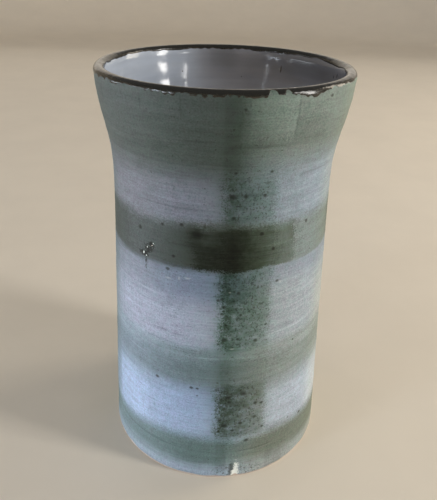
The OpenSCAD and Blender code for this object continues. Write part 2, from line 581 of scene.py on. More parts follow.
class Finish:
    """A material being wired: its places on the vase, its noises and its mixes."""

    def __init__(self, name):
        self.material = bpy.data.materials.new(name)
        self.material.use_nodes = True
        self.tree = self.material.node_tree
        self.tree.nodes.clear()
        self.shader = self.tree.nodes.new("ShaderNodeBsdfPrincipled")
        out = self.tree.nodes.new("ShaderNodeOutputMaterial")
        self.tree.links.new(self.shader.outputs[0], out.inputs[0])
        place = self.tree.nodes.new("ShaderNodeTexCoord")
        self.place = place.outputs["Object"]
        split = self.tree.nodes.new("ShaderNodeSeparateXYZ")
        self.tree.links.new(self.place, split.inputs[0])
        x, y, z = (Reading(self.tree, split.outputs[i]) for i in range(3))
        self.height = z * (1 / MM)
        self.angle = x.angle_from(y * -1.0) * (180 / math.pi)
        self.on_wall = None

    def scaled(self, around, up):
        """The place on the vase in its own units: millimetres to one unit, round and up."""
        node = self.tree.nodes.new("ShaderNodeVectorMath")
        node.operation = "MULTIPLY"
        self.tree.links.new(self.place, node.inputs[0])
        node.inputs[1].default_value = (1 / around / MM, 1 / around / MM, 1 / up / MM)
        return node.outputs[0]

    def noise(self, around, up, detail=2.0, rough=0.5, warp=0.0, shift=0.0):
        """Noise from about 0 to 1 whose marks are so many mm long round the vase and up it."""
        node = self.tree.nodes.new("ShaderNodeTexNoise")
        node.noise_dimensions = "4D"
        self.tree.links.new(self.scaled(around, up), node.inputs["Vector"])
        node.inputs["W"].default_value = shift
        node.inputs["Scale"].default_value = 1.0
        node.inputs["Detail"].default_value = detail
        node.inputs["Roughness"].default_value = rough
        node.inputs["Distortion"].default_value = warp
        return Reading(self.tree, node.outputs[0])

    def dots(self, spacing, size, shift=0.0):
        """One inside scattered dots, zero outside. Spacing and size are in mm."""
        node = self.tree.nodes.new("ShaderNodeTexVoronoi")
        node.voronoi_dimensions = "4D"
        self.tree.links.new(self.scaled(spacing, spacing), node.inputs["Vector"])
        node.inputs["W"].default_value = shift
        node.inputs["Scale"].default_value = 1.0
        away = Reading(self.tree, node.outputs["Distance"])
        return away.ramp(size / spacing, size / spacing * 0.45)

    def spot(self):
        """Angle and height of the shaded point as one vector."""
        if self.on_wall is None:
            node = self.tree.nodes.new("ShaderNodeCombineXYZ")
            feed(self.tree, node.inputs[0], self.angle)
            feed(self.tree, node.inputs[1], self.height)
            self.on_wall = node.outputs[0]
        return self.on_wall

    def mark(self, angle, height, half_round, half_up, soft=0.5, wander=None):
        """One inside an oval at an angle and height, half_round and half_up mm from its middle."""
        degrees = half_round / (WALL_R * math.radians(1))
        step = self.tree.nodes.new("ShaderNodeVectorMath")
        step.operation = "MULTIPLY_ADD"
        self.tree.links.new(self.spot(), step.inputs[0])
        step.inputs[1].default_value = (1 / degrees, 1 / half_up, 0)
        step.inputs[2].default_value = (-angle / degrees, -height / half_up, 0)
        reach = self.tree.nodes.new("ShaderNodeVectorMath")
        reach.operation = "LENGTH"
        self.tree.links.new(step.outputs[0], reach.inputs[0])
        away = Reading(self.tree, reach.outputs["Value"])
        if wander is not None:
            away = away + wander
        return away.ramp(1.0 + soft, 1.0 - soft)

    def mix(self, share, low, high, blend="MIX"):
        """A colour between two others."""
        first_colour, second_colour, mixed_colour = 6, 7, 2
        node = self.tree.nodes.new("ShaderNodeMix")
        node.data_type = "RGBA"
        node.blend_type = blend
        node.clamp_result = False
        feed(self.tree, node.inputs["Factor"], share)
        for place, value in ((first_colour, low), (second_colour, high)):
            slot = node.inputs[place]
            if hasattr(value, "__len__"):
                slot.default_value = (*tuple(value)[:3], 1.0)
            else:
                feed(self.tree, slot, value)
        return node.outputs[mixed_colour]

    def by_height(self, up, stops):
        """A colour that changes with height: stops of height and colour, from the foot up."""
        node = self.tree.nodes.new("ShaderNodeValToRGB")
        feed(self.tree, node.inputs[0], up * (1 / TALL))
        ramp = node.color_ramp
        ramp.interpolation = "EASE"
        for number, (height, shade) in enumerate(stops):
            place = min(max(height / TALL, 0.0), 1.0)
            if number < 2:
                stop = ramp.elements[number]
                stop.position = place
            else:
                stop = ramp.elements.new(place)
            stop.color = (*tuple(shade)[:3], 1.0)
        return node.outputs[0]

    def curve(self, reading, points):
        """A reading turned through a curve drawn through given (reading, value) points."""
        low, high = points[0][0], points[-1][0]
        tallest = max(value for _, value in points)
        node = self.tree.nodes.new("ShaderNodeFloatCurve")
        feed(self.tree, node.inputs["Value"], reading.ramp(low, high, smooth=False))
        line = node.mapping.curves[0]
        for number, (place, value) in enumerate(points):
            spot = ((place - low) / (high - low), value / tallest)
            if number < 2:
                line.points[number].location = spot
            else:
                line.points.new(*spot)
        node.mapping.update()
        return Reading(self.tree, node.outputs[0]) * tallest

    def stained(self, colour, depth, pigment):
        """A colour seen through a wash: each unit of depth lets through the pigment's share."""
        join = self.tree.nodes.new("ShaderNodeCombineColor")
        for slot, share in zip(join.inputs, tuple(pigment)[:3]):
            feed(self.tree, slot, depth.power_of(share))
        return self.mix(1.0, colour, join.outputs[0], "MULTIPLY")

    def bump(self, height, distance):
        """Surface relief: each unit of the reading lifts it by a distance in mm."""
        node = self.tree.nodes.new("ShaderNodeBump")
        node.inputs["Strength"].default_value = 1.0
        node.inputs["Distance"].default_value = distance * MM
        feed(self.tree, node.inputs["Height"], height)
        return node.outputs[0]

    def set(self, **values):
        """Fills sockets of the shader by name, with underscores for spaces."""
        for name, value in values.items():
            feed(self.tree, self.shader.inputs[name.replace("_", " ")], value)


# ---------------------------------------------------------------- finishes

def angles_of(node):
    """Angles, in degrees from the front, of a CAD node's points."""
    spots = [v.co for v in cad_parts[node].data.vertices]
    return np.degrees(np.arctan2([p.x for p in spots], [-p.y for p in spots]))


def front_stripe():
    """Middle of the stripe nearest the front, in degrees."""
    angles = angles_of("upright_stripes")
    near = angles[np.abs(angles) < 45]
    return float((near.min() + near.max()) / 2)


def level(node, end):
    """Bottom (0) or top (1) of a CAD node, in mm."""
    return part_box(node)[end].z / MM


STRIPE_AT = front_stripe()
FOOT_LOW, FOOT_HIGH = level("foot_band", 0), level("foot_band", 1)
LOWER_LOW, LOWER_HIGH = level("lower_band", 0), level("lower_band", 1)
MIDDLE_LOW, MIDDLE_HIGH = level("middle_band", 0), level("middle_band", 1)
SHOULDER_LOW = level("shoulder_band", 0)
STROKE_LOW, STROKE_HIGH = level("overlap_strokes", 0), level("overlap_strokes", 1)
TALL = CAD_BOX[1].z / MM

# Where each glaze colour takes over from the one below it, going up the wall:
# name, from and to height on the blue side, from and to height on the grey side
GLAZE_STEPS = (
    ("foot", FOOT_LOW - 10, FOOT_LOW + 3, FOOT_LOW - 8, FOOT_LOW + 3),
    ("low", FOOT_HIGH - 6, FOOT_HIGH + 4, FOOT_HIGH - 5, FOOT_HIGH + 5),
    ("lower", LOWER_LOW - 14, LOWER_LOW + 8, LOWER_LOW - 14, LOWER_LOW + 7),
    ("upper", LOWER_HIGH - 9, LOWER_HIGH - 2, LOWER_HIGH - 10, LOWER_HIGH - 3),
    ("mid", LOWER_HIGH, LOWER_HIGH + 8, LOWER_HIGH - 1, LOWER_HIGH + 6),
    ("dim", MIDDLE_LOW - 30, MIDDLE_LOW - 3, MIDDLE_LOW - 16, MIDDLE_LOW - 3),
    ("middle", MIDDLE_LOW - 4.5, MIDDLE_LOW + 2, MIDDLE_LOW - 0.5, MIDDLE_LOW + 2),
    ("high", MIDDLE_HIGH - 7, MIDDLE_HIGH + 2, MIDDLE_HIGH - 6, MIDDLE_HIGH + 3),
    # The shoulder and neck colours are darker partly as painted shade, where the flare faces down
    ("shoulder", SHOULDER_LOW - 15, SHOULDER_LOW + 7, SHOULDER_LOW - 8, SHOULDER_LOW + 15),
    ("neck", SHOULDER_LOW + 20, SHOULDER_LOW + 28, SHOULDER_LOW + 18, SHOULDER_LOW + 26),
)

# Strength of the brushed oxide across a stripe, in degrees from its middle
STRIPE_COAT = ((-45, 0.0), (-30, 0.01), (-22, 0.05), (-17, 0.11), (-13, 0.38), (-10, 0.90),
               (-8, 1.05), (-5, 0.80), (2, 0.61), (7, 0.46), (11, 0.34), (13.5, 0.12), (16, 0.03),
               (19, 0.0), (45, 0.0))
# How that strength changes with height
STRIPE_RISE = ((0, 0.0), (30, 0.2), (35, 1.0), (45, 0.98), (58, 1.16), (66, 1.0), (72, 0.95),
               (90, 0.78), (104, 0.82), (118, 0.95), (138, 0.82), (166, 0.60), (180, 0.66),
               (196, 0.52), (230, 0.5))
# The strength across the two dark strokes over the middle band, lower and upper
LOWER_STROKE = ((-45, 0.0), (-38, 0.08), (-30, 0.2), (-26, 0.5), (-22, 1.15), (-18, 1.35),
                (-13, 1.45), (-8, 1.75), (-3, 1.5), (2, 1.05), (7, 0.88), (12, 0.66), (17, 0.42),
                (22, 0.28), (25, 0.17), (26.5, 0.0), (45, 0.0))
UPPER_STROKE = ((-45, 0.0), (-38, 0.05), (-30, 0.25), (-27, 0.6), (-23, 0.9), (-18, 0.7),
                (-13, 0.85), (-8, 1.4), (-3, 1.2), (2, 1.0), (7, 0.75), (12, 0.6), (16, 0.35),
                (20, 0.3), (23.5, 0.42), (25.3, 0.0), (45, 0.0))
# How much darker the wall gets towards the left of a stripe, across it and with height
STRIPE_SIDE = ((-45, 0.35), (-30, 0.8), (-20, 1.0), (-10, 1.0), (0, 0.5), (12, 0.0), (25, 0.0),
               (37, 0.12), (45, 0.35))
SIDE_RISE = ((0, 0.5), (34, 0.6), (68, 1.0), (98, 0.45), (110, 0.45), (122, 0.95), (137, 1.7),
             (168, 0.9), (190, 0.8), (230, 0.8))
# Stripes stand a quarter turn apart, so an angle from a stripe's middle never passes this
HALF_STEP = 45

# Patches of glaze a shade lighter or darker than what is round them:
# from and to angle, from and to height, share of light kept
PATCHES = (
    (-64, -37, 32, 67, 1.10), (26, 36, 33, 62, 1.07), (26, 36, 96, 139, 1.03),
    (58, 84, 33, 66, 1.08), (120, 141, 32, 66, 1.12), (150, 166, 96, 138, 1.06),
    (-120, -101, 34, 68, 1.10), (-150, -137, 98, 137, 1.06), (-166, -120, 168, 190, 0.92),
    (6.5, 27.5, -8, 19.5, 1.12), (27.5, 38, -8, 15, 0.90), (8, 27, 26, 34, 1.10),
    (10, 29, 208, 228, 1.16), (-34, -16, 217, 227, 1.05), (29, 47, 204, 219, 0.90),
    (100, 122, 206, 226, 1.12), (-98, -80, 210, 226, 1.10), (1, 6, 4, 30, 0.86),
    (0.5, 7.5, 190, 229, 0.88), (-76, -57, 54, 66, 0.92), (-76, -57, 90, 140, 0.91),
)
# Single dark blobs in the front stripe and the bands: angle, height, half width in mm
BLOBS = (
    (5, 180, 1.5), (11, 180, 0.9), (20, 180, 0.9), (6, 169, 1.0), (6, 192, 0.7), (22, 192, 0.7),
    (0, 124, 0.8), (3, 120, 0.8), (2, 116, 0.7), (4, 109, 0.9), (3.5, 100, 1.4), (11, 115, 0.7),
    (10, 100, 0.8), (19, 98, 1.0), (24, 107, 0.7), (9.5, 128, 1.0), (6.5, 61, 1.2), (7, 58, 1.1),
    (14, 63, 1.6), (20.5, 55, 1.0), (24, 54, 0.8), (20.5, 45, 1.0), (2.5, 45, 1.0), (5, 41, 1.5),
    (13, 42, 1.0), (9, 37, 0.9), (25, 36, 0.7), (16.5, 28, 1.0), (42, 33, 0.6), (52, 30, 0.9),
    (-12, 66.5, 0.7), (-9, 66.5, 0.6), (-9, 61.5, 0.5), (42, 90, 0.7), (46, 161, 0.9),
    (-42, 156, 1.2), (-22, 146, 0.8), (8, 222, 0.7), (46, 225, 0.7), (-10.5, 159.5, 2.2),
    (19.5, 160, 0.9), (-28, 162, 0.8), (-18, 164, 0.9), (26, 151, 0.8), (-25, 138, 0.9),
    (29, 132, 0.8), (-31, 67.5, 0.9),
)
# The scraped place on the middle band and the pale painted highlights in it:
# angle, height, half width, half height in mm
SCRAPE = ((-39, 142.2, 2.4, 1.5), (-37, 145.0, 2.2, 2.0), (-34.8, 148.0, 1.6, 1.8),
          (-38, 138.2, 0.6, 2.4))
SCRAPE_PAINTED_HIGHLIGHTS = ((-39.7, 142.6, 0.3, 0.6), (-37.4, 146.4, 0.25, 0.5), (-33.6, 149.4, 0.25, 0.4),
                 (-37.8, 141.5, 0.4, 0.25))
# Pale nicks in the glaze, in the same way
CRESCENTS = ((-25, 133, 1.6, 0.5), (-15, 135, 1.6, 0.5), (-19, 134, 0.5, 0.9),
             (5.5, 128.5, 0.7, 0.4), (7.5, 94, 1.2, 0.35), (31, 131, 1.0, 0.6))
# Upright dark ticks on the shoulder, in the same way
TICKS = ((29.5, 218, 0.45, 9.0), (-16, 222.5, 0.5, 3.6), (-33.5, 222, 0.5, 2.6),
         (140, 215, 0.5, 7.0), (-60, 220, 0.5, 4.0))
# Dark and light brush hairs: from and to angle, height, half thickness in mm
DARK_HAIRS = (
    (-43, -8, 172.4, 0.5), (3, 22, 180.5, 0.8), (-17, 0, 207, 0.5), (7, 28, 205, 0.9),
    (35, 60, 188, 0.5), (-33, -25, 101, 0.4), (-22, -16, 100, 0.35), (-30, -2, 141, 0.6),
    (-24, -4, 153, 0.5), (10, 34, 148, 0.4), (-60, -20, 20.5, 0.6), (12, 30, 20.5, 0.5),
    (14, 20, 104, 0.4), (70, 96, 186, 0.5), (150, 178, 172, 0.5), (-150, -120, 206, 0.5),
)
LIGHT_HAIRS = (
    (-44, -30, 122, 0.7), (-57, -47, 112, 0.5), (-57, -47, 108, 0.5), (4, 17, 94, 0.5),
    (-25, 30, 87.5, 0.5), (12, 38, 153.2, 0.7), (-45, -38, 94, 0.5), (-50, -40, 85, 0.5),
    (-52, -40, 80.5, 0.4), (7, 30, 19.6, 0.5), (-30, -12, 176, 0.6), (30, 50, 100, 0.5),
    (100, 130, 118, 0.5), (-170, -140, 90, 0.6),
)


def glaze_up_the_wall(f, up, colours, side):
    """The glaze's colour by height on the blue or the grey side."""
    stops = [(0.0, getattr(colours, "skirt_" + side))]
    before = stops[0][1]
    for name, *heights in GLAZE_STEPS:
        start, end = heights[:2] if side == "blue" else heights[2:]
        after = getattr(colours, name + "_" + side)
        stops += [(start, before), (end, after)]
        before = after
    return f.by_height(up, stops)


def band_share(up):
    """One inside the brushed bands, zero on the pale wall."""
    inside = up.ramp(SHOULDER_LOW - 8, SHOULDER_LOW + 8)
    bands = ((MIDDLE_LOW, MIDDLE_HIGH, 2), (LOWER_LOW + 1, LOWER_HIGH + 2, 3),
             (FOOT_LOW - 5, FOOT_HIGH + 2, 4))
    for low, high, soft in bands:
        inside = inside.biggest(up.ramp(low - soft, low + soft) * up.ramp(high + soft, high - soft))
    return inside


def drawn(f, marks, soft, wander):
    """One inside any of some ovals: angle, height, half width and half height in mm."""
    found = None
    for mark in marks:
        one = f.mark(*mark, soft, wander)
        found = one if found is None else found.biggest(one)
    return found


def hairs(f, lines, wander):
    """One on thin level brush lines: from and to angle, height, half thickness in mm."""
    mm_per_degree = 1.1
    ovals = []
    for left, right, height, thick in lines:
        ovals.append(((left + right) / 2, height, (right - left) / 2 * mm_per_degree, thick))
    return drawn(f, ovals, 0.8, wander)


class MattWall:
    """What the layers of the matt glaze share: noises, height, angles, bands and stripes."""

    def __init__(self, f):
        self.wide = f.noise(34, 14, 2, 0.5) - 0.5
        self.ragged = f.noise(6, 2.2, 3, 0.6, shift=4.0) - 0.5
        self.grain = f.noise(0.85, 0.7, 2, 0.65, shift=6.0) - 0.5
        self.streak = f.noise(20, 0.9, 3, 0.6, warp=0.5, shift=2.0) - 0.5
        self.brushed = f.noise(48, 3.4, 3, 0.6, warp=0.5, shift=7.0) - 0.5
        self.weave = f.noise(1.2, 7, 2, 0.6, shift=9.0) - 0.5
        self.mottle = f.noise(5.5, 3.6, 4, 0.68, shift=5.0) - 0.5

        # The brush dipped a little at both sides of the foot band
        dip = (f.angle - 5).size().ramp(30, 66) * f.height.ramp(45, 32)
        self.up = f.height + self.wide * 5.0 + self.ragged * 3.4 + self.grain * 5.0 + dip * 3.2
        self.in_bands = band_share(self.up)

        # Blue on one half of each stripe's quarter and grey on the other, and grey all down the right
        side = (f.angle + (HALF_STEP - STRIPE_AT)) * (math.pi / 90)
        blue = (side.cosine() + self.wide * 0.5).ramp(-0.45, 0.45)
        self.blue = blue * (1 - f.angle.ramp(40, 60) * f.angle.ramp(150, 120) * 0.85)

        ragged_edge = self.wide * 2.4 + self.ragged * 4.0 + self.grain * 10.0 + self.weave * 3.0
        self.across = (f.angle - STRIPE_AT + ragged_edge).wrapped(-HALF_STEP, HALF_STEP)
        # The left stripe took less oxide than the others
        self.faint = f.angle.ramp(-46, -54) * f.angle.ramp(-112, -104)
        self.stripe = f.curve(self.across, STRIPE_COAT) * (1 - self.faint * 0.6)


def glaze_ground(f, wall, c):
    """The pale glaze and its bands, dimmer beside the stripes."""
    grey, blue = (glaze_up_the_wall(f, wall.up, c, side) for side in ("grey", "blue"))
    colour = f.mix(wall.blue, grey, blue)
    beside = f.curve(wall.across, STRIPE_SIDE)
    pale = beside * (1 - wall.in_bands) * f.curve(wall.up, SIDE_RISE)
    colour = f.stained(colour, pale, c.shade)
    return f.stained(colour, beside * wall.in_bands * (wall.blue * 0.40 + 0.1), c.wash)


def brushed_stripes(f, wall, c, colour):
    """The upright stripes of oxide, browner below the lower band, thinner over the bands."""
    coat = wall.stripe * f.curve(wall.up, STRIPE_RISE) * (1 - wall.in_bands * 0.62) * 0.95
    coat = coat * (1 + wall.mottle * 2.8 + wall.weave * 1.2 + wall.grain * 1.6)
    colour = f.stained(colour, coat * wall.up.ramp(74, 94), c.stripe)
    return f.stained(colour, coat * wall.up.ramp(94, 74), c.stripe_low)


def brushed_strokes(f, wall, c, colour):
    """The two dark strokes, one over the other, where a stripe crosses the middle band."""
    up, across = wall.up, wall.across
    seam = (STROKE_LOW + STROKE_HIGH) / 2
    depth = up.ramp(seam - 1, seam + 2).between(f.curve(across, LOWER_STROKE),
                                                f.curve(across, UPPER_STROKE))
    depth = depth * up.ramp(STROKE_LOW - 1.6, STROKE_LOW - 0.2)
    depth = depth * up.ramp(STROKE_HIGH + 2.0, STROKE_HIGH - 4.0)
    uneven = 1 + wall.mottle * 1.6 + wall.streak * 1.8 + wall.grain * 1.2
    return f.stained(colour, depth * (1 - wall.faint * 0.75) * uneven, c.stroke)


def brush_light(f, wall):
    """How light the glaze is from place to place: brush streaks, patches and single hairs."""
    light = 1 + wall.streak * 0.55 + wall.brushed * 0.45 + wall.mottle * 0.42
    light = light + wall.grain * 1.15 + wall.weave * 0.35
    angle = f.angle + wall.ragged * 1.5
    for left, right, low, high, kept in PATCHES:
        inside = angle.ramp(left - 0.7, left + 0.7) * angle.ramp(right + 0.7, right - 0.7)
        inside = inside * wall.up.ramp(low, low + 2) * wall.up.ramp(high, high - 2)
        light = light * (1 + inside * (kept - 1))
    wander = wall.ragged * 2.4
    dark_lines = hairs(f, DARK_HAIRS, wander).biggest(drawn(f, TICKS, 0.8, wander))
    return light * (1 + hairs(f, LIGHT_HAIRS, wander) * 0.18 - dark_lines * 0.24)


def tinted(f, wall, c, colour):
    """Painted warmer light on the right side of the glaze, with faint rose and green clouds all over."""
    # Painted light: the right side tinted warmer, less over the bands
    painted_warm_light = f.angle.ramp(50, 70) * f.angle.ramp(120, 95) * (1 - wall.in_bands * 0.6)
    colour = f.mix(painted_warm_light, colour, f.mix(1.0, colour, c.painted_warm_light, "MULTIPLY"))
    clouds = f.noise(3.6, 2.6, 3, 0.7, warp=0.4, shift=21.0)
    colour = f.stained(colour, clouds.ramp(0.42, 0.66), c.rose_cloud)
    return f.stained(colour, clouds.ramp(0.58, 0.34), c.green_cloud)


def iron_specks(f, wall):
    """Depth of the iron specks: fine pepper, larger blots, beads in the stripes and single blobs."""
    in_stripe = wall.stripe.ramp(0.12, 0.5) * (1 - wall.in_bands * 0.8)
    pepper = f.noise(0.9, 0.9, 1, 0.5, shift=12.0)
    pepper = (pepper + in_stripe * 0.05).ramp(0.63, 0.74) * (0.28 + in_stripe * 0.3)
    beads = f.noise(1.25, 1.6, 1, 0.5, shift=17.0)
    beads = (beads + in_stripe * 0.095).ramp(0.66, 0.75)
    beads = beads * in_stripe * wall.up.ramp(190, 150, 0.35, 0.6)
    blots = f.noise(1.9, 1.9, 2, 0.55, shift=14.0)
    blots = (blots + wall.stripe * (1 - wall.in_bands * 0.6) * 0.085).ramp(0.665, 0.78) * 0.75
    ovals = [(at, height, half, half * 0.85) for at, height, half in BLOBS]
    blobs = drawn(f, ovals, 0.7, wall.ragged * 2.2)
    scrape = drawn(f, SCRAPE, 0.6, (wall.grain + wall.ragged) * 4.0)
    return pepper.biggest(blots).biggest(blobs).biggest(beads).biggest(scrape * 1.2)


def bare_places(f, wall, c, colour):
    """Bare body in the chip at the foot and the nicks, painted highlights in the scrape in the same
    colour, and a painted shadow beside the chip.
    """
    # Painted highlights: pale flecks in the scrape, in the chip's colour
    painted_highlights = drawn(f, SCRAPE_PAINTED_HIGHLIGHTS, 0.4, wall.ragged * 2.0)
    nicks = drawn(f, CRESCENTS, 0.6, wall.ragged * 3.0) * 0.18
    chip = f.mark(CHIP_AT + 0.5, 4.0, 1.5, 6.4, 0.3, (wall.grain + wall.ragged) * 2.4)
    chip = chip.biggest(f.mark(CHIP_AT - 0.4, 2.0, 2.0, 4.0, 0.3, wall.ragged * 1.5))
    colour = f.mix(painted_highlights.biggest(nicks).biggest(chip), colour, c.bare)
    # Painted shadow: a dark line down the left side of the foot chip, in the iron colour
    beside = f.mark(CHIP_AT - 2.0, 5.0, 1.3, 6.0, 0.6, wall.ragged * 2.0) * (1 - chip)
    return f.stained(colour, beside * 0.8, c.iron)


def matt_finish(c):
    """The matt glaze with its brushed bands, stripes and specks."""
    f = Finish("Matt blue glaze")
    wall = MattWall(f)
    colour = glaze_ground(f, wall, c)
    colour = brushed_stripes(f, wall, c, colour)
    colour = brushed_strokes(f, wall, c, colour)
    colour = f.mix(1.0, colour, brush_light(f, wall).socket, "MULTIPLY")
    colour = tinted(f, wall, c, colour)
    dark = iron_specks(f, wall)
    colour = f.stained(colour, dark, c.iron)
    f.set(Base_Color=bare_places(f, wall, c, colour), Specular_IOR_Level=0.2)
    f.set(Roughness=0.62 + wall.mottle * 0.18 - dark * 0.1)
    relief = wall.streak * 0.5 + wall.brushed * 0.6 + wall.grain * 0.8 + dark * 0.6
    f.set(Normal=f.bump(relief, 0.10))
    return f.material


def lip_finish(c):
    """Dark brown glossy glaze, thinner and browner at its edges."""
    f = Finish("Dark lip glaze")
    node = f.tree.nodes.new("ShaderNodeAttribute")
    node.attribute_name = "glaze_depth"
    depth = Reading(f.tree, node.outputs["Fac"])
    cloud = f.noise(9, 3, 3, 0.6)
    share = (depth * 1.4 + (cloud - 0.5) * 1.2).ramp(0.35, 1.1)
    f.set(Base_Color=f.mix(share, c.lip_thin, c.lip), Roughness=cloud.ramp(0.3, 0.8, 0.13, 0.26))
    f.set(Normal=f.bump(f.noise(5, 2.5, 2), 0.25))
    return f.material


# Painted shade on the liner, round the wall and up it: angle and share, height and share
LINER_PAINTED_SHADE = ((0, 0.4), (80, 0.40), (130, 0.54), (150, 0.44), (168, 0.36), (180, 0.55), (190, 0.42),
              (201, 0.12), (212, 0.0), (270, 0.0), (330, 0.3), (360, 0.5))
LINER_SHADE_RISE = ((0, 0.0), (200, 0.0), (207, 0.1), (211, 0.4), (216, 0.7), (223, 1.0), (230, 1.0))
# How much it turns to its greyer colour round the wall
LINER_TONE = ((0, 0.5), (80, 1.0), (150, 1.0), (185, 0.7), (205, 0.2), (222, 0.0), (250, 0.0),
              (360, 0.5))
# Iron marks on it: angle, height, half width and half height in mm
LINER_MARKS = ((146, 218.5, 0.45, 1.9), (99, 223, 0.4, 1.2), (103, 221.5, 0.35, 0.9),
               (-154, 215, 0.35, 0.4), (128, 211, 0.3, 0.4), (170, 212, 0.25, 0.3),
               (-100, 219, 0.3, 0.4))


def liner_finish(c):
    """Smooth glossy lavender-grey glaze, with painted shade on one side near the top, and a few iron
    specks.
    """
    f = Finish("Glossy liner glaze")
    cloud = f.noise(26, 9, 3, 0.55)
    round_turn = f.angle.wrapped(0, 360)
    tone = (f.curve(round_turn, LINER_TONE) + (cloud - 0.5) * 0.6).ramp(0, 1)
    # Painted shade: the inside darkened round one side, near the top
    dark = f.curve(round_turn, LINER_PAINTED_SHADE) * f.curve(f.height, LINER_SHADE_RISE)
    light = (1 - dark) * (1 + (cloud - 0.5) * 0.35 + (f.noise(60, 3, 2, shift=5.0) - 0.5) * 0.25)
    colour = f.mix(1.0, f.mix(tone, c.liner, c.liner_grey), light.socket, "MULTIPLY")
    specks = f.dots(7, 0.35, 3.0).biggest(drawn(f, LINER_MARKS, 0.4, None))
    colour = f.mix(specks * 0.9, colour, c.liner_speck)
    f.set(Base_Color=colour, Roughness=f.noise(14, 6, 2).ramp(0.3, 0.7, 0.08, 0.15))
    f.set(Normal=f.bump(f.noise(12, 9, 1), 0.22))
    return f.material


def clay_finish(c):
    """Bare stoneware: buff, a little sandy, with iron grit and turning lines."""
    f = Finish("Bare stoneware")
    cloud = f.noise(11, 11, 4, 0.6)
    colour = f.mix(cloud.ramp(0.3, 0.7), c.clay, c.clay_warm)
    colour = f.mix(f.dots(2.2, 0.34, 1.0) * 0.6, colour, c.grit)
    f.set(Base_Color=colour, Roughness=f.noise(3, 3, 2).ramp(0.2, 0.8, 0.78, 0.95))
    f.set(Normal=f.bump(f.noise(0.7, 0.7, 3, 0.6), 0.12))
    return f.material


def place_piece(piece, material, slot, *nodes):
    """Gives a piece its finish, and ties it to the frame in place of its CAD nodes."""
    piece.data.materials.append(material)
    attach(piece, "root")
    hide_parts(*nodes)


# ---------------------------------------------------------------- what a user can change

def length(name, default, description):
    """A size that a user may change, with its default in mm."""
    return FloatProperty(name=name, description=description, default=default * MM, min=0.0,
                         unit="LENGTH", precision=5)


def colour(name, default, description, most=1.0):
    """A colour that a user may change."""
    return FloatVectorProperty(name=name, description=description, default=default, subtype="COLOR",
                               min=0.0, max=most, size=3)


class VaseShape(PropertyGroup):
    """Sizes of the hand-made unevenness, and how finely each piece is cut."""

    ring_depth: length("Ring depth", 0.055, "Height of the throwing rings")
    ring_pitch: length("Ring pitch", 6.0, "Distance between throwing rings")
    scar_depth: length("Scar depth", 0.45, "Depth of the scar in the middle band")
    chip_depth: length("Chip depth", 0.6, "Depth of the chip at the foot")
    lip_glaze: length("Lip glaze", 0.2, "How far the dark glaze stands proud of the lip")
    columns: IntProperty(name="Wall columns", description="Faces round the outer wall", default=448)
    rows: IntProperty(name="Wall rows", description="Faces up the outer wall", default=184)
    lip_columns: IntProperty(name="Lip columns", description="Faces round the lip", default=960)
    liner_columns: IntProperty(name="Liner columns", description="Faces round the inside", default=288)
    body_columns: IntProperty(name="Clay columns", description="Faces round the clay body", default=288)

    def mm(self, name):
        """A size by name, in mm."""
        return getattr(self, name) / MM


